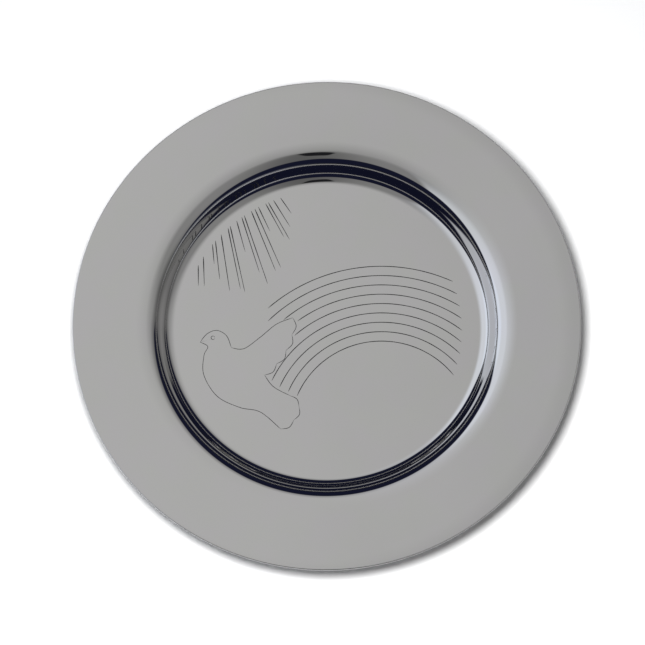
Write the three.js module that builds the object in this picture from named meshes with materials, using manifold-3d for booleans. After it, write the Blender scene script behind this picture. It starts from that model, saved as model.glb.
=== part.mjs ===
// Offering plate: a spun steel plate with a hemmed edge, and the baize pad glued under its base.
// Millimetres, +Z up. The origin is the centre of the pad's underside.
import * as THREE from 'three';
import { mergeVertices } from 'three/addons/utils/BufferGeometryUtils.js';
import Module from 'manifold-3d';

const wasm = await Module();
wasm.setup();

const DEG = Math.PI / 180;

// Overall
const PLATE_RADIUS = 150;
const SHEET = 0.5;
const TURNS = 72;

// Base pad, with the film of adhesive that holds it to the base
const PAD_RADIUS = 85;
const PAD_THICKNESS = 1.5;
const PAD_EDGE_ROUND = 0.4;
const ADHESIVE_THICKNESS = 0.2;
const ADHESIVE_RADIUS = PAD_RADIUS - PAD_EDGE_ROUND;
const FLOOR_TOP = PAD_THICKNESS + ADHESIVE_THICKNESS + SHEET;

// Upper face of the sheet, from the well floor outwards
const FLOOR_RADIUS = 90.4;
const FILLET_RADIUS = 7.9;
const SHOULDER_RADIUS = 11.2;
const RIM_SLOPE = 6.3 * DEG;
const BEND_STEPS = 5;

// Easing of the shoulder into the rim, round a larger radius below this slope
const EASE_SLOPE = 13.3 * DEG;
const EASE_RADIUS = 50;
const EASE_STEPS = 2;

// Wall: a shallow S between the bends, steepest half way up
const BEND_SLOPE = 61 * DEG;
const WALL_SLOPE = 66.2 * DEG;
const WALL_CURVE = 30.5;
const WALL_STEPS = 1;

// Hem: the sheet's edge folded back flat under the rim
const HEM_GAP = 0.2;
const HEM_LENGTH = 4;
const FOLD_INNER = HEM_GAP / 2;
const FOLD_OUTER = FOLD_INNER + SHEET;
const FOLD_STEPS = 6;

// Engraving: V grooves in the well floor
const GROOVE_HALF_WIDTH = 0.24;
const GROOVE_DEPTH = 0.18;
const GROOVE_RISE = 0.06;
const BAND_CENTRE = new THREE.Vector2(29, -64);
const BAND_COUNT = 9;
const BAND_INNER_RADIUS = 54;
const BAND_SPACING = 5.85;
const BAND_END_RADIUS = 81;
const BAND_LEFT_X = -36;
const BAND_STEPS = 14;
const BIRD_CLEARANCE = 1.6;
const RAY_SOURCE = new THREE.Vector2(-71, 164);
const RAY_COUNT = 17;
const RAY_FIRST_ANGLE = -92 * DEG;
const RAY_LAST_ANGLE = -60 * DEG;
const RAY_TOP_RADIUS = 87;
const RAY_UNEVEN = 0.3;
const RAY_LONGEST = 46;
const RAY_END_SHARE = 0.3;
const RAY_SHARES = [0.95, 1, 0.45, 0.8, 1];
const EYE_CENTRE = new THREE.Vector2(-68.2, -2.2);
const EYE_RADIUS = 1.1;

// Strokes of the bird, each a smooth curve through its points
const HEAD = [[-76, -4.5], [-71.5, 0.5], [-65.5, 2.2], [-60, -1.5], [-57.5, -9]];
const WING_FRONT = [[-57.5, -9], [-50, -10], [-40, -3.5], [-30, 4], [-20, 7.5]];
const WING_FEATHERS = [[-20, 7.5], [-21, -3], [-25, -12.5], [-31, -20.5], [-38.5, -27]];
const RUMP = [[-38.5, -27], [-33.5, -34.5], [-24, -40.5]];
const TAIL_FEATHERS = [[-24, -40.5], [-19, -47.5], [-22.5, -55.5], [-30.5, -60.5]];
const UNDERSIDE = [
  [-30.5, -60.5], [-42, -49.5], [-54, -46], [-67, -38.5],
  [-74.5, -25], [-74, -13], [-71.5, -7.5], [-76, -4.5],
];
const FEATHER_BULGE = 0.22;
const STROKE_STEP = 3;

const point2 = ([x, y]) => new THREE.Vector2(x, y);
const polar = (radius, angle) => new THREE.Vector2(radius * Math.cos(angle), radius * Math.sin(angle));

function arc(centre, radius, from, to, steps) {
  const points = [];
  for (let i = 0; i <= steps; i++) {
    points.push(polar(radius, from + (to - from) * (i / steps)).add(centre));
  }
  return points;
}

// A profile in (radius, height) spun about Z
function spin(profile) {
  return new THREE.LatheGeometry(profile, TURNS).rotateX(Math.PI / 2);
}

function toSolid(geometry) {
  const bare = geometry.clone();
  bare.deleteAttribute('normal');
  bare.deleteAttribute('uv');
  const merged = mergeVertices(bare);
  const index = merged.index.array;
  const corners = [];
  for (let i = 0; i < index.length; i += 3) {
    const [a, b, c] = [index[i], index[i + 1], index[i + 2]];
    if (a !== b && b !== c && c !== a) corners.push(a, b, c);
  }
  return new wasm.Manifold(new wasm.Mesh({
    numProp: 3,
    vertProperties: new Float32Array(merged.attributes.position.array),
    triVerts: new Uint32Array(corners),
  }));
}

function toGeometry(solid) {
  const mesh = solid.getMesh();
  const geometry = new THREE.BufferGeometry();
  geometry.setAttribute('position', new THREE.BufferAttribute(mesh.vertProperties, 3));
  geometry.setIndex(new THREE.BufferAttribute(mesh.triVerts, 1));
  geometry.computeVertexNormals();
  return geometry;
}

// Sheet section: out along the lower face and round the inside of the fold, then back along the outer side
function plateProfile() {
  const floorEdge = new THREE.Vector2(FLOOR_RADIUS, FLOOR_TOP);
  const filletCentre = floorEdge.clone().add(new THREE.Vector2(0, FILLET_RADIUS));
  const bendNormal = BEND_SLOPE + Math.PI / 2;
  const wallNormal = WALL_SLOPE + Math.PI / 2;
  const rimNormal = RIM_SLOPE + Math.PI / 2;
  const lowerCentre = polar(WALL_CURVE - FILLET_RADIUS, bendNormal).add(filletCentre);
  const upperCentre = lowerCentre.clone().sub(polar(2 * WALL_CURVE, wallNormal));
  const shoulderCentre = polar(WALL_CURVE - SHOULDER_RADIUS, bendNormal).add(upperCentre);
  const easeNormal = EASE_SLOPE + Math.PI / 2;
  const easeCentre = polar(SHOULDER_RADIUS - EASE_RADIUS, easeNormal).add(shoulderCentre);
  const rimStart = polar(EASE_RADIUS, rimNormal).add(easeCentre);
  const foldRadius = PLATE_RADIUS - FOLD_OUTER;
  const foldTop = polar(FOLD_OUTER, rimNormal);
  const foldCentre = new THREE.Vector2(
    foldRadius,
    rimStart.y + (foldRadius + foldTop.x - rimStart.x) * Math.tan(RIM_SLOPE) - foldTop.y,
  );
  const hemStart = polar(-HEM_LENGTH, RIM_SLOPE).add(foldCentre);

  const fillet = (r) => arc(filletCentre, r, -Math.PI / 2, bendNormal - Math.PI, BEND_STEPS);
  const lowerWall = (r) => arc(lowerCentre, r, bendNormal - Math.PI, wallNormal - Math.PI, WALL_STEPS);
  const upperWall = (r) => arc(upperCentre, r, wallNormal, bendNormal, WALL_STEPS);
  const shoulder = (r) => arc(shoulderCentre, r, bendNormal, easeNormal, BEND_STEPS);
  const ease = (r) => arc(easeCentre, r, easeNormal, rimNormal, EASE_STEPS);
  const fold = (r) => arc(foldCentre, r, rimNormal, rimNormal - Math.PI, FOLD_STEPS);
  const hemEnd = (r) => polar(-r, rimNormal).add(hemStart);
  const upper = [
    new THREE.Vector2(0, FLOOR_TOP),
    ...fillet(FILLET_RADIUS),
    ...lowerWall(WALL_CURVE).slice(1),
    ...upperWall(WALL_CURVE).slice(1, -1),
    ...shoulder(SHOULDER_RADIUS),
    ...ease(EASE_RADIUS).slice(1),
    ...fold(FOLD_OUTER),
    hemEnd(FOLD_OUTER),
  ];
  const lower = [
    new THREE.Vector2(0, FLOOR_TOP - SHEET),
    ...fillet(FILLET_RADIUS + SHEET),
    ...lowerWall(WALL_CURVE + SHEET).slice(1),
    ...upperWall(WALL_CURVE - SHEET).slice(1, -1),
    ...shoulder(SHOULDER_RADIUS - SHEET),
    ...ease(EASE_RADIUS - SHEET).slice(1),
    ...fold(FOLD_INNER),
    hemEnd(FOLD_INNER),
  ];
  return [...lower, ...upper.reverse()];
}

// Smooth points along a stroke, about STROKE_STEP apart
function strokePoints(controls) {
  const curve = new THREE.SplineCurve(controls.map(point2));
  return curve.getSpacedPoints(Math.max(2, Math.round(curve.getLength() / STROKE_STEP)));
}

// One rounded feather end between each two neighbouring tips, bulging to the left of travel
function feathers(tips) {
  return tips.slice(1).map((end, i) => {
    const from = point2(tips[i]);
    const to = point2(end);
    const chord = to.clone().sub(from);
    const bulge = new THREE.Vector2(-chord.y, chord.x).multiplyScalar(FEATHER_BULGE);
    const middle = from.clone().add(to).multiplyScalar(0.5).add(bulge);
    return strokePoints([from, middle, to].map((p) => [p.x, p.y]));
  });
}

function inside(polygon, p) {
  let crossings = 0;
  polygon.forEach((a, i) => {
    const b = polygon[(i + 1) % polygon.length];
    const spans = (a.y > p.y) !== (b.y > p.y);
    if (spans && p.x < a.x + ((p.y - a.y) / (b.y - a.y)) * (b.x - a.x)) crossings++;
  });
  return crossings % 2 === 1;
}

// Concentric bands: each runs both ways from its top until it nears the bird or the edge of the floor
function bands(bird) {
  const search = (radius, step, open) => {
    let angle = Math.PI / 2;
    while (open(polar(radius, angle + step).add(BAND_CENTRE))) angle += step;
    return angle;
  };
  const paths = [];
  for (let i = 0; i < BAND_COUNT; i++) {
    const radius = BAND_INNER_RADIUS + i * BAND_SPACING;
    const left = search(radius, 0.3 * DEG, (p) => p.x > BAND_LEFT_X && !inside(bird, p));
    const right = search(radius, -0.3 * DEG, (p) => p.length() < BAND_END_RADIUS);
    paths.push(arc(BAND_CENTRE, radius, left - BIRD_CLEARANCE / radius, right, BAND_STEPS));
  }
  return paths;
}

// A V section swept along a path on the floor
function groove(path) {
  const flare = GROOVE_HALF_WIDTH * (1 + GROOVE_RISE / GROOVE_DEPTH);
  const corners = [[-GROOVE_RISE, -flare], [GROOVE_DEPTH, 0], [-GROOVE_RISE, flare]];
  const section = new THREE.Shape(corners.map(point2));
  const route = new THREE.CurvePath();
  for (let i = 1; i < path.length; i++) {
    const [a, b] = [path[i - 1], path[i]].map((p) => new THREE.Vector3(p.x, p.y, FLOOR_TOP));
    route.add(new THREE.LineCurve3(a, b));
  }
  return new THREE.ExtrudeGeometry(section, { steps: path.length - 1, extrudePath: route });
}

// A tapering cut: half of a flattened four-sided cone lying in the floor
function rayCut(top, direction, length) {
  const cone = new THREE.ConeGeometry(GROOVE_HALF_WIDTH * 1.3, length, 4);
  cone.translate(0, length / 2, 0);
  cone.scale(1, 1, GROOVE_DEPTH / GROOVE_HALF_WIDTH);
  cone.rotateZ(direction - Math.PI / 2);
  return cone.translate(top.x, top.y, FLOOR_TOP);
}

function rays() {
  const cuts = [];
  for (let i = 0; i < RAY_COUNT; i++) {
    const share = (i + RAY_UNEVEN * Math.sin(4 * i)) / (RAY_COUNT - 1);
    const direction = RAY_FIRST_ANGLE + (RAY_LAST_ANGLE - RAY_FIRST_ANGLE) * share;
    const step = polar(1, direction);
    const along = -RAY_SOURCE.dot(step);
    const nearest = RAY_SOURCE.lengthSq() - along ** 2;
    const reach = along - Math.sqrt(RAY_TOP_RADIUS ** 2 - nearest);
    const top = step.clone().multiplyScalar(reach).add(RAY_SOURCE);
    const gain = RAY_END_SHARE + (1 - RAY_END_SHARE) * Math.sin(Math.PI * share);
    const length = RAY_LONGEST * RAY_SHARES[i % RAY_SHARES.length] * gain;
    cuts.push(rayCut(top, direction, length));
  }
  return cuts;
}

function engraving() {
  const head = strokePoints(HEAD);
  const wing = [strokePoints(WING_FRONT), ...feathers(WING_FEATHERS)];
  const back = [strokePoints(RUMP), ...feathers(TAIL_FEATHERS), strokePoints(UNDERSIDE)];
  const outline = [head, ...wing, ...back];
  const eye = arc(EYE_CENTRE, EYE_RADIUS, 0, 2 * Math.PI, 8);
  const paths = [...outline, eye, ...bands(outline.flat())];
  const cuts = [...paths.map(groove), ...rays()].map(toSolid);
  return cuts.reduce((all, cut) => all.add(cut));
}

function padProfile() {
  const r = PAD_RADIUS - PAD_EDGE_ROUND;
  const corner = (z, from) => arc(new THREE.Vector2(r, z), PAD_EDGE_ROUND, from, from + Math.PI / 2, 2);
  return [
    new THREE.Vector2(0, 0),
    ...corner(PAD_EDGE_ROUND, -Math.PI / 2),
    ...corner(PAD_THICKNESS - PAD_EDGE_ROUND, 0),
    new THREE.Vector2(0, PAD_THICKNESS),
  ];
}

function part(name, geometry, color, roughness, metalness) {
  const mesh = new THREE.Mesh(geometry, new THREE.MeshStandardMaterial({ color, roughness, metalness }));
  mesh.name = name;
  return mesh;
}

const body = toSolid(spin(plateProfile())).subtract(engraving());
const film = new THREE.CylinderGeometry(ADHESIVE_RADIUS, ADHESIVE_RADIUS, ADHESIVE_THICKNESS, TURNS)
  .rotateX(Math.PI / 2)
  .translate(0, 0, PAD_THICKNESS + ADHESIVE_THICKNESS / 2);

const plate = new THREE.Group();
plate.add(
  part('plate_body', toGeometry(body), 0xb9bbbd, 0.1, 1),
  part('pad_adhesive', film, 0xd9d2bd, 0.6, 0),
  part('base_pad', spin(padProfile()), 0x1d3b2a, 0.95, 0),
);

export default plate;
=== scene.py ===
"""Looks of the offering plate: a mirror-polished spun steel plate with line engraving in its well
and a hemmed edge, and the baize pad glued under it, on a pale floor. Metres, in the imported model's
frame: +Z up, and +Y towards the side of the well with the rays."""

import math

import bpy
import numpy as np
from mathutils import Matrix, Vector, kdtree, noise


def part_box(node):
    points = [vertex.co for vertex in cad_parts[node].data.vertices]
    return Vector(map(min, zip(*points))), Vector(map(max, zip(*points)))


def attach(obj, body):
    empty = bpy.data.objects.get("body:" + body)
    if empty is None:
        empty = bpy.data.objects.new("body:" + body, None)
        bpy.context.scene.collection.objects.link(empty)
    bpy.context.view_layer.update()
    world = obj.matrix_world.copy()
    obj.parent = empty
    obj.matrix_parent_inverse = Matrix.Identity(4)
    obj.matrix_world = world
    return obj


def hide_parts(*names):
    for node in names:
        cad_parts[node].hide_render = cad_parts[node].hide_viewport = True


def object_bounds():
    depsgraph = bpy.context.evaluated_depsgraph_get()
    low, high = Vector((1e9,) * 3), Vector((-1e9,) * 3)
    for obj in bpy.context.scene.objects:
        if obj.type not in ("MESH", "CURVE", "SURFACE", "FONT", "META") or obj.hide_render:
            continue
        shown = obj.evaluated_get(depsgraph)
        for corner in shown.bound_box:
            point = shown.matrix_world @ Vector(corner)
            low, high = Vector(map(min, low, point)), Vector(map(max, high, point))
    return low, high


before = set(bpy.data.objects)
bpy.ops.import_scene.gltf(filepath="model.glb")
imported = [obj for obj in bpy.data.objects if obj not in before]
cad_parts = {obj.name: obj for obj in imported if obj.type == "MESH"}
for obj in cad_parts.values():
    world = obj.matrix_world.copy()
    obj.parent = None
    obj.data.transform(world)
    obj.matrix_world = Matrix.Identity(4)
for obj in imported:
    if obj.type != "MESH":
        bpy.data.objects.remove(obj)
cad_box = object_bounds()

MM = 0.001

# ---------------------------------------------------------------- sizes

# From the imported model
plate_low, plate_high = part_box("plate_body")
pad_low, pad_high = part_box("base_pad")
film_low, film_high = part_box("pad_adhesive")
PAD_RADIUS = pad_high.x
FILM_RADIUS = film_high.x

# The sheet's section, as in the CAD
SHEET = 0.5 * MM
FLOOR_RADIUS = 90.4 * MM
FILLET_RADIUS = 7.9 * MM
BEND_SLOPE = math.radians(61)
WALL_SLOPE = math.radians(66.2)
WALL_CURVE = 30.5 * MM
SHOULDER_RADIUS = 11.2 * MM
EASE_SLOPE = math.radians(13.3)
EASE_RADIUS = 50 * MM
RIM_SLOPE = math.radians(6.3)
HEM_GAP = 0.2 * MM
HEM_LENGTH = 4 * MM
FOLD_INNER = HEM_GAP / 2
FOLD_OUTER = FOLD_INNER + SHEET
FOLD_CENTRE = np.array([plate_high.x - FOLD_OUTER, plate_high.z - FOLD_OUTER * math.cos(RIM_SLOPE)])
FLOOR_TOP = plate_low.z + SHEET
EDGE_REACH = math.hypot(plate_high.x, plate_high.z)

# How finely the forms are drawn
PLATE_TURNS = 360
BEND_STEPS = 22
EASE_STEPS = 8
FOLD_STEPS = 16
WALL_STEPS = 12
RIM_STEPS = 12
HEM_STEPS = 3
STROKE_STEPS = 24
BAND_STEPS = 90
BAND_SEARCH = math.radians(0.3)
EYE_STEPS = 24

# The engraving's cuts: half widths, depth and rise over the floor as shares of them, the length of
# a step along a cut, and how a cut's width varies
BAND_CUT = 0.24 * MM
BIRD_CUT = 0.17 * MM
RAY_CUT = 0.31 * MM
DEPTH_SHARE = 0.75
RISE_SHARE = 0.3
CUT_STEP = 0.7 * MM
CUT_TAPER = 2.5 * MM
CUT_END_SHARE = 0.35
SWELL_SHARE = 0.08
SWELL_SPAN = 3.1 * MM
RAY_FADE = 0.5

# The engraving's picture, as in the CAD
BAND_CENTRE = (29 * MM, -64 * MM)
BAND_COUNT = 9
BAND_INNER_RADIUS = 54 * MM
BAND_SPACING = 5.85 * MM
BAND_END_RADIUS = 81 * MM
BAND_LEFT_X = -36 * MM
BIRD_CLEARANCE = 1.6 * MM
RAY_SOURCE = (-71 * MM, 164 * MM)
RAY_COUNT = 17
RAY_FIRST_ANGLE = math.radians(-92)
RAY_LAST_ANGLE = math.radians(-60)
RAY_TOP_RADIUS = 87 * MM
RAY_UNEVEN = 0.3
RAY_LONGEST = 46 * MM
RAY_END_SHARE = 0.3
RAY_SHARES = (0.95, 1, 0.45, 0.8, 1)
EYE_CENTRE = (-68.2 * MM, -2.2 * MM)
EYE_RADIUS = 1.1 * MM
FEATHER_BULGE = 0.22

# Strokes of the bird, in millimetres, each a smooth curve through its points
HEAD = [(-76, -4.5), (-71.5, 0.5), (-65.5, 2.2), (-60, -1.5), (-57.5, -9)]
WING_FRONT = [(-57.5, -9), (-50, -10), (-40, -3.5), (-30, 4), (-20, 7.5)]
WING_FEATHERS = [(-20, 7.5), (-21, -3), (-25, -12.5), (-31, -20.5), (-38.5, -27)]
RUMP = [(-38.5, -27), (-33.5, -34.5), (-24, -40.5)]
TAIL_FEATHERS = [(-24, -40.5), (-19, -47.5), (-22.5, -55.5), (-30.5, -60.5)]
UNDERSIDE = [
    (-30.5, -60.5), (-42, -49.5), (-54, -46), (-67, -38.5),
    (-74.5, -25), (-74, -13), (-71.5, -7.5), (-76, -4.5),
]


# ---------------------------------------------------------------- mesh helpers

def polar(radius, angle):
    return np.array([radius * math.cos(angle), radius * math.sin(angle)])


def make_object(name, vertices, faces, materials):
    mesh = bpy.data.meshes.new(name)
    mesh.from_pydata([tuple(v) for v in vertices], [], faces)
    mesh.update()
    piece = bpy.data.objects.new(name, mesh)
    bpy.context.scene.collection.objects.link(piece)
    for material in materials:
        mesh.materials.append(material)
    return piece


def arc_points(centre, radius, start, end, steps, side):
    """Points and unit normals along an arc in (radius, height). side 1 faces away from the centre."""
    rows = []
    for i in range(steps + 1):
        angle = start + (end - start) * i / steps
        rows.append((*(np.array(centre) + polar(radius, angle)), *(side * polar(1, angle))))
    return rows


def fill_straight(rows, steps):
    """Even points between the two ends of a straight run, which share one normal."""
    (r0, z0, *normal), (r1, z1, *_) = rows
    return [(r0 + (r1 - r0) * i / steps, z0 + (z1 - z0) * i / steps, *normal) for i in range(1, steps)]


def spin(profile, turns):
    """Vertices of a profile turned about Z, and the quads between its rows. A row is one ring."""
    angles = [2 * math.pi * j / turns for j in range(turns)]
    vertices = [(row[0] * math.cos(a), row[0] * math.sin(a), row[1]) for row in profile for a in angles]
    faces = []
    for i in range(len(profile) - 1):
        for j in range(turns):
            k = (j + 1) % turns
            faces.append((i * turns + j, i * turns + k, (i + 1) * turns + k, (i + 1) * turns + j))
    return vertices, faces


# ---------------------------------------------------------------- the plate's section

def plate_section():
    """The sheet's outline: out along its lower face to the hem's end, and back along its upper face."""
    fillet_centre = (FLOOR_RADIUS, FLOOR_TOP + FILLET_RADIUS)
    bend_normal = BEND_SLOPE + math.pi / 2
    wall_normal = WALL_SLOPE + math.pi / 2
    lower_centre = fillet_centre + polar(WALL_CURVE - FILLET_RADIUS, bend_normal)
    upper_centre = lower_centre - polar(2 * WALL_CURVE, wall_normal)
    shoulder_centre = upper_centre + polar(WALL_CURVE - SHOULDER_RADIUS, bend_normal)
    ease_normal = EASE_SLOPE + math.pi / 2
    ease_centre = shoulder_centre + polar(SHOULDER_RADIUS - EASE_RADIUS, ease_normal)
    rim_normal = RIM_SLOPE + math.pi / 2
    hem_start = FOLD_CENTRE - polar(HEM_LENGTH, RIM_SLOPE)

    def face(below, above, fold_radius, up):
        # Bends concave from above lie off their centres by "below", convex ones by "above"
        fillet = arc_points(
            fillet_centre, FILLET_RADIUS + below, -math.pi / 2, bend_normal - math.pi, BEND_STEPS, -up)
        lower_wall = arc_points(
            lower_centre, WALL_CURVE + below,
            bend_normal - math.pi, wall_normal - math.pi, WALL_STEPS, -up)
        upper_wall = arc_points(
            upper_centre, WALL_CURVE + above, wall_normal, bend_normal, WALL_STEPS, up)
        shoulder = arc_points(
            shoulder_centre, SHOULDER_RADIUS + above, bend_normal, ease_normal, BEND_STEPS, up)
        ease = arc_points(ease_centre, EASE_RADIUS + above, ease_normal, rim_normal, EASE_STEPS, up)
        fold = arc_points(FOLD_CENTRE, fold_radius, rim_normal, rim_normal - math.pi, FOLD_STEPS, up)
        hem_end = (*(hem_start - polar(fold_radius, rim_normal)), *fold[-1][2:])
        wall = lower_wall[1:] + upper_wall[1:-1]
        rim = fill_straight((ease[-1], fold[0]), RIM_STEPS)
        hem = fill_straight((fold[-1], hem_end), HEM_STEPS)
        return fillet + wall + shoulder + ease[1:] + rim + fold + hem + [hem_end]

    lower = face(SHEET, -SHEET, FOLD_INNER, -1)
    upper = face(0, 0, FOLD_OUTER, 1)
    return lower + upper[::-1]


# ---------------------------------------------------------------- the engraving

def smooth_stroke(controls):
    """Points CUT_STEP apart on the Catmull-Rom curve through the controls, which are in millimetres."""
    points = [np.array(p, float) * MM for p in controls]
    points = [points[0]] + points + [points[-1]]
    dense = []
    for a, b, c, d in zip(points, points[1:], points[2:], points[3:]):
        start, end = (c - a) / 2, (d - b) / 2
        cubed = 2 * b - 2 * c + start + end
        squared = -3 * b + 3 * c - 2 * start - end
        for i in range(STROKE_STEPS):
            t = i / STROKE_STEPS
            dense.append(cubed * t**3 + squared * t**2 + start * t + b)
    return even_steps(dense + [points[-1]])


def even_steps(path):
    """The same path in even steps of about CUT_STEP."""
    path = np.array(path)
    lengths = np.concatenate([[0], np.cumsum(np.linalg.norm(np.diff(path, axis=0), axis=1))])
    count = max(3, round(lengths[-1] / CUT_STEP))
    at = np.linspace(0, lengths[-1], count + 1)
    return np.stack([np.interp(at, lengths, path[:, k]) for k in (0, 1)], axis=1)


def feather_strokes(tips):
    """A rounded feather end between each two neighbouring tips."""
    strokes = []
    for start, end in zip(tips, tips[1:]):
        chord = np.subtract(end, start)
        middle = np.add(start, end) / 2 + FEATHER_BULGE * np.array([-chord[1], chord[0]])
        strokes.append(smooth_stroke([start, middle, end]))
    return strokes


def inside(polygon, point):
    """Whether a ray from the point to +X crosses the polygon's sides an odd number of times."""
    crossings = 0
    for a, b in zip(polygon, np.roll(polygon, -1, axis=0)):
        if (a[1] > point[1]) != (b[1] > point[1]):
            crossings += point[0] < a[0] + (point[1] - a[1]) / (b[1] - a[1]) * (b[0] - a[0])
    return crossings % 2 == 1


def band_strokes(bird):
    """Concentric bands, each from its top both ways until it nears the bird or the floor's edge."""

    def search(radius, step, is_open):
        angle = math.pi / 2
        while is_open(BAND_CENTRE + polar(radius, angle + step)):
            angle += step
        return angle

    strokes = []
    for i in range(BAND_COUNT):
        radius = BAND_INNER_RADIUS + i * BAND_SPACING
        left = search(radius, BAND_SEARCH, lambda p: p[0] > BAND_LEFT_X and not inside(bird, p))
        right = search(radius, -BAND_SEARCH, lambda p: np.linalg.norm(p) < BAND_END_RADIUS)
        angles = np.linspace(left - BIRD_CLEARANCE / radius, right, BAND_STEPS)
        strokes.append(even_steps([BAND_CENTRE + polar(radius, a) for a in angles]))
    return strokes


def ray_strokes():
    """Straight rays that fan out from one source beyond the plate, from the floor's edge inwards."""
    strokes = []
    source = np.array(RAY_SOURCE)
    for i in range(RAY_COUNT):
        share = (i + RAY_UNEVEN * math.sin(4 * i)) / (RAY_COUNT - 1)
        step = polar(1, RAY_FIRST_ANGLE + (RAY_LAST_ANGLE - RAY_FIRST_ANGLE) * share)
        along = -source @ step
        reach = along - math.sqrt(RAY_TOP_RADIUS**2 - source @ source + along**2)
        gain = RAY_END_SHARE + (1 - RAY_END_SHARE) * math.sin(math.pi * share)
        length = RAY_LONGEST * RAY_SHARES[i % len(RAY_SHARES)] * gain
        strokes.append(even_steps([source + step * reach, source + step * (reach + length)]))
    return strokes


def cutter(path, half_width, fade):
    """Vertices and faces of the wedge that cuts one groove. It thins towards both ends, and with
    fade also all the way to its far end."""
    rise = RISE_SHARE * half_width
    steps = np.gradient(path, axis=0)
    tangents = steps / np.linalg.norm(steps, axis=1)[:, None]
    travelled = np.arange(len(path)) * np.linalg.norm(path[1] - path[0])
    remaining = travelled[-1] - travelled
    vertices, faces = [], []
    for i, (point, tangent) in enumerate(zip(path, tangents)):
        taper = min(travelled[i], remaining[i]) / CUT_TAPER
        ends = min(1, CUT_END_SHARE + (1 - CUT_END_SHARE) * taper)
        width = half_width * ends * (1 + SWELL_SHARE * math.sin(travelled[i] / SWELL_SPAN))
        if fade:
            width *= 1 - RAY_FADE * travelled[i] / travelled[-1]
        depth = width * DEPTH_SHARE
        flare = width * (depth + rise) / depth
        side = np.array([-tangent[1], tangent[0]])
        vertices += [
            (*(point - side * flare), FLOOR_TOP + rise),
            (*(point + side * flare), FLOOR_TOP + rise),
            (*point, FLOOR_TOP - depth),
        ]
        if i:
            k = 3 * i
            faces += [(k - 3 + a, k - 3 + b, k + b, k + a) for a, b in ((1, 0), (2, 1), (0, 2))]
    faces += [(0, 1, 2), (3 * len(path) - 1, 3 * len(path) - 2, 3 * len(path) - 3)]
    return vertices, faces


def cutter_object(name, strokes):
    """One object that holds the wedges of strokes which don't touch each other."""
    vertices, faces = [], []
    for path, half_width, fade in strokes:
        more, sides = cutter(path, half_width, fade)
        faces += [tuple(len(vertices) + k for k in side) for side in sides]
        vertices += more
    return make_object(name, vertices, faces, [])


def engraving_cutters():
    """The cutters of the whole picture, in groups whose strokes stay clear of each other."""
    outline = [smooth_stroke(HEAD), smooth_stroke(WING_FRONT), *feather_strokes(WING_FEATHERS)]
    outline += [smooth_stroke(RUMP), *feather_strokes(TAIL_FEATHERS), smooth_stroke(UNDERSIDE)]
    turns = [2 * math.pi * k / EYE_STEPS for k in range(EYE_STEPS)]
    eye = np.array([EYE_CENTRE + polar(EYE_RADIUS, turn) for turn in turns])
    bird = np.concatenate(outline)
    clear = [(path, BAND_CUT, False) for path in band_strokes(bird)]
    clear += [(path, RAY_CUT, True) for path in ray_strokes()]
    clear += [(eye, BIRD_CUT, False)]
    # Neighbouring strokes of the outline meet, so they are cut in turns
    alternate = [[(path, BIRD_CUT, False) for path in outline[first::2]] for first in (0, 1)]
    return [cutter_object(f"cutter_{i}", strokes) for i, strokes in enumerate([clear, *alternate])]


# ---------------------------------------------------------------- the pieces

def cut(piece, cutters):
    """Cuts the cutters out of the piece's mesh and removes them."""
    for tool in cutters:
        step = piece.modifiers.new("engrave", "BOOLEAN")
        step.operation = "DIFFERENCE"
        step.solver = "MANIFOLD"
        step.object = tool
    graph = bpy.context.evaluated_depsgraph_get()
    done = bpy.data.meshes.new_from_object(piece.evaluated_get(graph))
    piece.modifiers.clear()
    piece.data = done
    for tool in cutters:
        bpy.data.objects.remove(tool)


# How near a mesh point is to the section's, and cosines: of a level face, and of a normal that fits
NEAR = 0.001 * MM
LEVEL = 0.999
AGREES = 0.7


def set_plate_normals(mesh, profile):
    """Exact normals from the section, flat ones in the grooves, and the groove faces' own material."""
    tree = kdtree.KDTree(len(profile))
    for i, row in enumerate(profile):
        tree.insert((row[0], row[1], 0), i)
    tree.balance()
    normals = []
    for face in mesh.polygons:
        flat = face.normal
        centre = face.center
        tilted = math.hypot(centre.x, centre.y) < FLOOR_RADIUS and abs(flat.z) < LEVEL
        in_groove = tilted and centre.z > FLOOR_TOP - SHEET + NEAR
        face.material_index = 1 if in_groove else 0
        face.use_smooth = True
        for index in face.vertices:
            point = mesh.vertices[index].co
            radius = math.hypot(point.x, point.y)
            found = [] if in_groove else tree.find_range((radius, point.z, 0), NEAR)
            best = None
            for _, i, _ in found:
                nr, nz = profile[i][2:]
                candidate = Vector((nr * point.x / radius, nr * point.y / radius, nz))
                if best is None or candidate.dot(flat) > best.dot(flat):
                    best = candidate
            fits = best is not None and best.dot(flat) > AGREES
            normals.append(tuple(best if fits else flat))
    mesh.normals_split_custom_set(normals)


def build_plate(steel, engraved):
    """The spun sheet, with the engraving cut into its well floor."""
    profile = plate_section()
    vertices, faces = spin(profile, PLATE_TURNS)
    last = (len(profile) - 1) * PLATE_TURNS
    underside = tuple(reversed(range(PLATE_TURNS)))
    floor = tuple(range(last, last + PLATE_TURNS))
    piece = make_object("plate", vertices, faces + [underside, floor], [steel, engraved])
    cut(piece, engraving_cutters())
    set_plate_normals(piece.data, profile)
    return piece


PAD_TURNS = 300
PAD_RINGS = 44
PAD_RING_CROWDING = 0.8
PAD_ROUND = 0.45 * MM
PAD_ROUND_STEPS = 4
NAP_HEIGHT = 0.07 * MM
NAP_GRAIN = 900
CUT_ROUGHNESS = 0.22 * MM
CUT_GRAIN = 1500
SPREAD_ROUGHNESS = 0.5 * MM
SPREAD_GRAIN = 300


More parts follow.
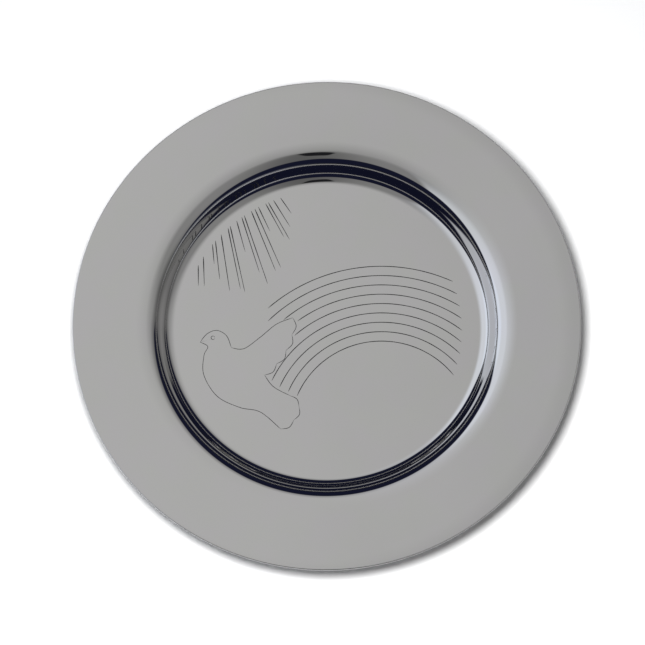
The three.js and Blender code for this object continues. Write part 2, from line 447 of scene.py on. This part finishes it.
def build_pad(material):
    """A felted disc: a soft uneven nap on both faces and a slightly ragged cut edge."""
    thickness = pad_high.z - pad_low.z
    inner = PAD_RADIUS - PAD_ROUND - CUT_ROUGHNESS
    rings = [inner * (i / PAD_RINGS) ** PAD_RING_CROWDING for i in range(1, PAD_RINGS + 1)]
    turns = [math.pi / 2 * (k / PAD_ROUND_STEPS - 1) for k in range(1, PAD_ROUND_STEPS + 1)]
    corner = [polar(PAD_ROUND, turn) for turn in turns]
    profile = [(r, 0.0) for r in rings]
    profile += [(inner + c[0], PAD_ROUND + c[1]) for c in corner]
    profile += [(inner + c[0], thickness - PAD_ROUND - c[1]) for c in reversed(corner)]
    profile += [(r, thickness) for r in reversed(rings)]
    vertices, faces = spin(profile, PAD_TURNS)
    soft = []
    for x, y, z in vertices:
        radius = math.hypot(x, y)
        nap = NAP_HEIGHT * (0.5 + 0.5 * noise.fractal(Vector((x, y, z)) * NAP_GRAIN, 1, 2, 4))
        inward = 1 if z < thickness / 2 else -1
        ragged = CUT_ROUGHNESS * noise.fractal(Vector((x, y, z)) * CUT_GRAIN, 1, 2, 3)
        grow = 1 + (ragged if radius > inner else 0) / radius
        soft.append((x * grow, y * grow, pad_low.z + z + inward * max(0, nap)))
    last = (len(profile) - 1) * PAD_TURNS
    ends = [tuple(reversed(range(PAD_TURNS))), tuple(range(last, last + PAD_TURNS))]
    piece = make_object("baize_pad", soft, faces + ends, [material])
    piece.data.shade_smooth()
    return piece


def build_film(material):
    """The adhesive between pad and plate: a thin disc, uneven at its edge where it was spread."""
    vertices, faces = spin([(FILM_RADIUS, film_low.z), (FILM_RADIUS, film_high.z)], PAD_TURNS)
    spread = []
    for x, y, z in vertices:
        short = SPREAD_ROUGHNESS * abs(noise.fractal(Vector((x, y, 0)) * SPREAD_GRAIN, 1, 2, 3))
        keep = 1 - short / FILM_RADIUS
        spread.append((x * keep, y * keep, z))
    ends = [tuple(reversed(range(PAD_TURNS))), tuple(range(PAD_TURNS, 2 * PAD_TURNS))]
    return make_object("adhesive_film", spread, faces + ends, [material])


# ---------------------------------------------------------------- materials

class Nodes:
    """Short forms for building a node tree."""

    def __init__(self, tree):
        self.tree = tree
        tree.nodes.clear()

    def add(self, kind, inputs=None, **settings):
        node = self.tree.nodes.new(kind)
        for key, value in settings.items():
            setattr(node, key, value)
        for key, value in (inputs or {}).items():
            self.set(node.inputs[key], value)
        return node

    def set(self, socket, value):
        if isinstance(value, bpy.types.NodeSocket):
            self.tree.links.new(value, socket)
        elif isinstance(value, bpy.types.Node):
            self.tree.links.new(value.outputs[0], socket)
        else:
            socket.default_value = value

    def math(self, operation, *values):
        return self.add("ShaderNodeMath", dict(enumerate(values)), operation=operation)

    def smooth(self, value, low, high, start=0.0, end=1.0):
        """start below low, end above high, and a smooth step between them."""
        inputs = {"Value": value, "From Min": low, "From Max": high, "To Min": start, "To Max": end}
        return self.add("ShaderNodeMapRange", inputs, interpolation_type="SMOOTHSTEP")

    def blend(self, share, a, b):
        node = self.add("ShaderNodeMix", data_type="RGBA")
        self.set(node.inputs["Factor"], share)
        self.set(node.inputs["A"], a)
        self.set(node.inputs["B"], b)
        return node.outputs["Result"]

    def noise(self, vector, scale, detail=3.0, roughness=0.5):
        inputs = {"Vector": vector, "Scale": scale, "Detail": detail, "Roughness": roughness}
        return self.add("ShaderNodeTexNoise", inputs)

    def stretched(self, vector, scale, turn=0.0):
        inputs = {"Vector": vector, "Rotation": (0, 0, turn), "Scale": scale}
        return self.add("ShaderNodeMapping", inputs)


def principled(name, **uniform):
    """A material with its Principled shader, whose uniform values are set on its own sockets."""
    material = bpy.data.materials.new(name)
    material.use_nodes = True
    nodes = Nodes(material.node_tree)
    output = nodes.add("ShaderNodeOutputMaterial")
    inputs = {key.replace("_", " "): value for key, value in uniform.items()}
    shader = nodes.add("ShaderNodeBsdfPrincipled", inputs)
    nodes.set(output.inputs["Surface"], shader)
    place = nodes.add("ShaderNodeTexCoord").outputs["Object"]
    return material, nodes, shader, place


# Painted shade grows with metres to the right, to which random clouding adds; a painted shade ring at
# the edge lies off centre and so shows on the right only. The folded edge is darkened all round by
# painted shade
SHADE_NONE = -0.10
SHADE_FULL = 0.44
CLOUD_TONE = 0.12
EDGE_SHADE = 0.14
EDGE_SHADE_SHIFT = 6 * MM
EDGE_SHADE_WIDTH = 6 * MM
FOLD_SHADE_FROM = 1.0 * MM
FOLD_SHADE_TO = 0.3 * MM


def polished_steel():
    """Mirror polish, with painted shade to the right and on the folded edge, clouding and fine
    scratches.
    """
    material, nodes, shader, place = principled("polished_steel", Metallic=1.0)
    clouds = nodes.noise(place, 14.0, 4.0)

    # Tint: painted shade darkens it to the right, at the edge on that side and along the folded edge
    patches = nodes.smooth(nodes.noise(place, 45.0, 2.0), 0.3, 0.7)
    # Unshaded and painted-shade copies of the steel's colour, each with random patches
    bright = nodes.blend(patches, (0.735, 0.725, 0.732, 1), (0.73, 0.73, 0.718, 1))
    shaded_steel = nodes.blend(patches, (0.59, 0.58, 0.588, 1), (0.585, 0.585, 0.574, 1))
    # Painted shade that grows to the right across the plate
    across = nodes.add("ShaderNodeSeparateXYZ", {"Vector": place}).outputs["X"]
    shifted = {0: place, 1: (-EDGE_SHADE_SHIFT, 0, 0)}
    aside = nodes.add("ShaderNodeVectorMath", shifted, operation="DISTANCE").outputs["Value"]
    inner, outer = plate_high.x - EDGE_SHADE_WIDTH, plate_high.x + EDGE_SHADE_WIDTH
    # Painted shade in a ring at the edge, off centre so that it shows on the right
    painted_edge_shade = nodes.smooth(aside, inner, outer, 0.0, EDGE_SHADE)
    shade_and_clouding = nodes.math("ADD", nodes.math("MULTIPLY_ADD", clouds, CLOUD_TONE, across), painted_edge_shade)
    tint = nodes.blend(nodes.smooth(shade_and_clouding, SHADE_NONE, SHADE_FULL), bright, shaded_steel)
    reach = nodes.add("ShaderNodeVectorMath", {0: place}, operation="LENGTH").outputs["Value"]
    # Painted shade along the folded edge
    fold = nodes.smooth(reach, EDGE_REACH - FOLD_SHADE_FROM, EDGE_REACH - FOLD_SHADE_TO, 0.0, 0.4)
    nodes.set(shader.inputs["Base Color"], nodes.blend(fold, tint, (0.35, 0.35, 0.36, 1)))

    # Roughness: clouding, wiping marks and hairline scratches
    wiping = nodes.noise(nodes.stretched(place, (900.0, 30.0, 900.0), 0.6), 1.0, 2.0)
    hairs = nodes.noise(nodes.stretched(place, (2600.0, 45.0, 2600.0), -0.9), 1.0, 1.0)
    rough = nodes.smooth(clouds, 0.35, 0.75, 0.010, 0.022)
    rough = nodes.math("MULTIPLY_ADD", nodes.smooth(wiping, 0.55, 0.75), 0.012, rough)
    rough = nodes.math("MULTIPLY_ADD", nodes.smooth(hairs, 0.68, 0.74), 0.04, rough)
    nodes.set(shader.inputs["Roughness"], rough)

    # The spun sheet isn't quite flat
    waves = nodes.noise(place, 22.0, 1.0)
    bump = nodes.add("ShaderNodeBump", {"Height": waves, "Strength": 1.0, "Distance": 0.00004})
    nodes.set(shader.inputs["Normal"], bump)
    return material


def engraved_steel():
    """The cut walls of the engraving: dull and streaky from the graver, dark grey partly from painted
    shade.
    """
    material, nodes, shader, place = principled("engraved_steel", Metallic=1.0)
    chatter = nodes.noise(place, 2500.0, 3.0)
    # The dark grey is partly the dull cut's own tone and partly painted shade in the grooves
    tint = nodes.blend(nodes.smooth(chatter, 0.35, 0.7), (0.08, 0.08, 0.085, 1), (0.20, 0.195, 0.20, 1))
    nodes.set(shader.inputs["Base Color"], tint)
    nodes.set(shader.inputs["Roughness"], nodes.smooth(chatter, 0.3, 0.7, 0.35, 0.6))
    return material


def adhesive():
    """Dried contact adhesive, yellowish and a little cloudy."""
    material, nodes, shader, place = principled("adhesive", Roughness=0.45)
    clouds = nodes.noise(place, 400.0, 3.0)
    tint = nodes.blend(clouds.outputs[0], (0.5, 0.4, 0.22, 1), (0.68, 0.58, 0.38, 1))
    nodes.set(shader.inputs["Base Color"], tint)
    return material


def baize():
    """Dark green felted wool with a short matted nap."""
    material, nodes, shader, place = principled(
        "baize", Sheen_Weight=0.35, Sheen_Roughness=0.5, Sheen_Tint=(0.35, 0.6, 0.42, 1))
    shader.inputs["Specular IOR Level"].default_value = 0.15
    fibres = nodes.noise(place, 2600.0, 5.0, 0.65)
    matting = nodes.noise(place, 160.0, 4.0, 0.6)
    matted = nodes.smooth(matting, 0.3, 0.7)
    dark = nodes.blend(matted, (0.010, 0.034, 0.018, 1), (0.022, 0.066, 0.036, 1))
    tint = nodes.blend(nodes.smooth(fibres, 0.45, 0.8), dark, (0.07, 0.15, 0.09, 1))
    nodes.set(shader.inputs["Base Color"], tint)
    nodes.set(shader.inputs["Roughness"], nodes.smooth(fibres, 0.3, 0.7, 0.85, 1.0))
    bump = nodes.add("ShaderNodeBump", {"Height": fibres, "Strength": 0.7, "Distance": 0.0002})
    nodes.set(shader.inputs["Normal"], bump)
    return material


# ---------------------------------------------------------------- camera

CAMERA_DISTANCE = 1.4
CAMERA_TILT = math.radians(16.35)
CAMERA_ROLL = math.radians(-3.19)
CAMERA_LENS = 131.7
AIM_ABOVE_FLOOR = 10 * MM
AIM_RIGHT = -2.4 * MM
AIM_UP = 0.4 * MM


def add_camera():
    """Looks down into the well from in front, at the tilt and roll that the plate was seen at."""
    back = Vector((0, -math.sin(CAMERA_TILT), math.cos(CAMERA_TILT)))
    turn = Matrix.Rotation(CAMERA_ROLL, 3, back)
    right = turn @ Vector((1, 0, 0))
    up = back.cross(right)
    aim = Vector((0, 0, FLOOR_TOP + AIM_ABOVE_FLOOR)) + AIM_RIGHT * right + AIM_UP * up
    data = bpy.data.cameras.new("camera")
    data.lens = CAMERA_LENS
    data.sensor_width = 36
    data.clip_start = 0.01
    camera = bpy.data.objects.new("camera", data)
    place = Matrix((right, up, back)).transposed().to_4x4()
    place.translation = aim + CAMERA_DISTANCE * back
    camera.matrix_world = place
    bpy.context.scene.collection.objects.link(camera)
    bpy.context.scene.camera = camera


# ---------------------------------------------------------------- studio

# The sky is made brighter by this share, since the steel takes away about that much
METAL_SHARE = 0.7
BACKDROP = (0.93, 0.93, 0.93, 1)
BLACK = (0, 0, 0, 1)

# Ceiling brightness towards the front, where it is least, and towards the back
CEILING_FRONT = 0.19
CEILING_BACK = 0.385

# Compass directions, in degrees from +X: the window's middle, its cool part, and where its jambs face
WINDOW_MIDDLE = 160
WINDOW_COOL = 127
FRONT_JAMB = 130
BACK_JAMB = 208

# The photographer's camera, as x and y over z: half its width and length, its place and its slant
SPOT_HALF_WIDTH = 0.062
SPOT_HALF_LENGTH = 0.21
SPOT_TO_FRONT = 0.42
SPOT_SLANT = -0.6
SPOT_SQUARENESS = 4.0
LOWEST_Z = 0.05


def build_studio_sky():
    """What the metal mirrors: a grey ceiling, a cool bright window to the left, and dark cloths to
    front and back. East is +X, north is +Y, and rise is height over distance along the ground."""
    world = bpy.data.worlds.new("studio")
    world.use_nodes = True
    bpy.context.scene.world = world
    nodes = Nodes(world.node_tree)
    direction = nodes.add("ShaderNodeTexCoord").outputs["Generated"]
    parts = nodes.add("ShaderNodeSeparateXYZ", {"Vector": direction})
    x, y, z = (parts.outputs[k] for k in "XYZ")

    def times(a, b):
        return nodes.math("MULTIPLY", a, b)

    def times_plus(a, b, c):
        return nodes.math("MULTIPLY_ADD", a, b, c)

    def toward(azimuth):
        """How far the direction lies towards a compass direction, in degrees from +X."""
        turn = math.radians(azimuth)
        return times_plus(y, math.sin(turn), times(x, math.cos(turn)))

    level = nodes.math("SQRT", times_plus(x, x, times(y, y)))
    level = nodes.math("MAXIMUM", level, 0.001)
    east = nodes.math("DIVIDE", x, level)
    north = nodes.math("DIVIDE", y, level)
    rise = nodes.math("DIVIDE", z, level)

    # Top edges of the dark cloths to back and front, as rise
    back_top = times_plus(north, 0.73, times(east, 0.035))
    back_top = times(back_top, nodes.smooth(east, -0.93, -0.72))
    back_top = times(back_top, nodes.smooth(east, 0.95, 0.998, 1.0, 0.0))
    over_back = nodes.math("SUBTRACT", back_top, rise)
    front_top = times_plus(north, -0.723, times_plus(east, -0.10, 0.03))
    front_top = nodes.math("ADD", front_top, nodes.smooth(east, -0.95, -0.7, 0.07, 0.0))
    over_front = nodes.math("SUBTRACT", front_top, rise)

    # Ceiling: darker to the right, round the photographer, over the back cloth and low down
    ceiling = nodes.smooth(y, -0.35, 0.24, CEILING_FRONT, CEILING_BACK)
    ceiling = times(ceiling, nodes.smooth(x, 0.0, 1.0, 1.0, 0.58))
    ceiling = nodes.math("MAXIMUM", ceiling, CEILING_FRONT)
    aside = nodes.math("ABSOLUTE", nodes.math("SUBTRACT", east, 0.12))
    beside_photographer = nodes.smooth(aside, 0.0, 0.75, 0.5, 1.0)
    behind_photographer = nodes.smooth(y, -0.25, -0.05, 0.5, 1.0)
    ceiling = times(ceiling, nodes.math("MAXIMUM", beside_photographer, behind_photographer))
    ceiling = times(ceiling, nodes.smooth(over_back, -0.6, 0.0, 1.0, 0.65))
    ceiling = times(ceiling, nodes.smooth(z, 0.0, 0.6, 0.62, 1.0))
    grey = nodes.blend(ceiling, BLACK, (1.0, 1.0, 0.995, 1))

    # Window to the left, between two upright jambs: brightest in its middle, dimmer at its foot
    facing = toward(WINDOW_MIDDLE)
    share = times(nodes.smooth(facing, 0.12, 0.62), nodes.smooth(toward(FRONT_JAMB), -0.04, 0.05))
    share = times(share, nodes.smooth(toward(BACK_JAMB), -0.12, 0.12, 0.45, 1.0))
    cool = nodes.smooth(toward(WINDOW_COOL), 0.25, 0.6)
    window = nodes.blend(cool, (0.535, 0.555, 0.585, 1), (0.615, 0.64, 0.69, 1))
    window = nodes.blend(nodes.smooth(facing, 0.86, 0.97), window, (0.69, 0.74, 0.83, 1))
    window = nodes.blend(nodes.smooth(rise, 0.0, 0.15, 0.62, 1.0), BLACK, window)
    colour = nodes.blend(share, grey, window)

    # The cloths, navy, with light from the table low down at the front right
    back = times(nodes.smooth(over_back, -0.08, 0.07), nodes.smooth(back_top, 0.0, 0.1))
    front = times(nodes.smooth(over_front, -0.07, 0.06), nodes.smooth(front_top, 0.0, 0.06))
    glow = nodes.smooth(nodes.math("SUBTRACT", east, north), 0.9, 1.38, 0.012, 0.15)
    lit = nodes.blend(glow, BLACK, (0.95, 1.0, 1.1, 1))
    cloth = nodes.blend(nodes.smooth(rise, 0.02, 0.18), lit, (0.0065, 0.0075, 0.0195, 1))
    colour = nodes.blend(nodes.math("MAXIMUM", back, front), colour, cloth)

    # The photographer's camera, overhead and to the front, held at a slant: a box with round corners
    upward = nodes.math("MAXIMUM", z, LOWEST_Z)
    beside = nodes.math("DIVIDE", x, upward)
    ahead = nodes.math("ADD", nodes.math("DIVIDE", y, upward), SPOT_TO_FRONT)
    along = times_plus(beside, SPOT_SLANT, ahead)
    spot = 0.0
    for offset, half in ((beside, SPOT_HALF_WIDTH), (along, SPOT_HALF_LENGTH)):
        scaled = nodes.math("ABSOLUTE", nodes.math("DIVIDE", offset, half))
        spot = nodes.math("ADD", nodes.math("POWER", scaled, SPOT_SQUARENESS), spot)
    colour = nodes.blend(nodes.smooth(spot, 0.5, 1.6, 0.97, 0.0), colour, (0.008, 0.008, 0.010, 1))

    metal = nodes.add("ShaderNodeBackground", {"Color": colour, "Strength": 1 / METAL_SHARE})
    plain = nodes.add("ShaderNodeBackground", {"Color": BACKDROP, "Strength": 1.0})
    seen = nodes.add("ShaderNodeLightPath").outputs["Is Camera Ray"]
    choice = nodes.add("ShaderNodeMixShader", {0: seen, 1: metal, 2: plain})
    output = nodes.add("ShaderNodeOutputWorld")
    nodes.set(output.inputs["Surface"], choice)


KEY_DISTANCE = 0.72
KEY_TILT = math.radians(10.9)
KEY_TURN = math.radians(249)
KEY_SIZE = 0.22
KEY_POWER = 6.6


def add_key_light():
    """A soft round lamp nearly overhead, to the front. It lights the floor and isn't mirrored."""
    data = bpy.data.lights.new("key", "AREA")
    data.shape = "DISK"
    data.size = KEY_SIZE
    data.energy = KEY_POWER
    lamp = bpy.data.objects.new("key", data)
    out = Vector((*polar(math.sin(KEY_TILT), KEY_TURN), math.cos(KEY_TILT)))
    lamp.location = out * KEY_DISTANCE
    lamp.rotation_mode = "QUATERNION"
    lamp.rotation_quaternion = out.to_track_quat("Z", "Y")
    lamp.visible_glossy = False
    bpy.context.scene.collection.objects.link(lamp)


FLOOR_HALF = 6.0


def build_floor():
    """A pale matt table top, much larger than the plate."""
    material, nodes, shader, place = principled("pale_floor", Roughness=0.8)
    mottling = nodes.noise(place, 3.0, 2.0)
    tint = nodes.blend(mottling.outputs[0], (0.82, 0.82, 0.82, 1), (0.85, 0.85, 0.85, 1))
    nodes.set(shader.inputs["Base Color"], tint)
    shader.inputs["Specular IOR Level"].default_value = 0.1
    signs = ((-1, -1), (1, -1), (1, 1), (-1, 1))
    corners = [(x * FLOOR_HALF, y * FLOOR_HALF, cad_box[0].z) for x, y in signs]
    floor = make_object("floor", corners, [(0, 1, 2, 3)], [material])


# ---------------------------------------------------------------- assembly

add_camera()
build_studio_sky()
add_key_light()
build_floor()

plate = build_plate(polished_steel(), engraved_steel())
film = build_film(adhesive())
pad = build_pad(baize())

rows = [
    (plate, "plate_body", "polished_steel"),
    (film, "pad_adhesive", "adhesive"),
    (pad, "base_pad", "baize"),
]
for piece, node, slot in rows:
    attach(piece, "root")
    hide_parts(node)

bpy.context.scene.view_settings.view_transform = "Standard"
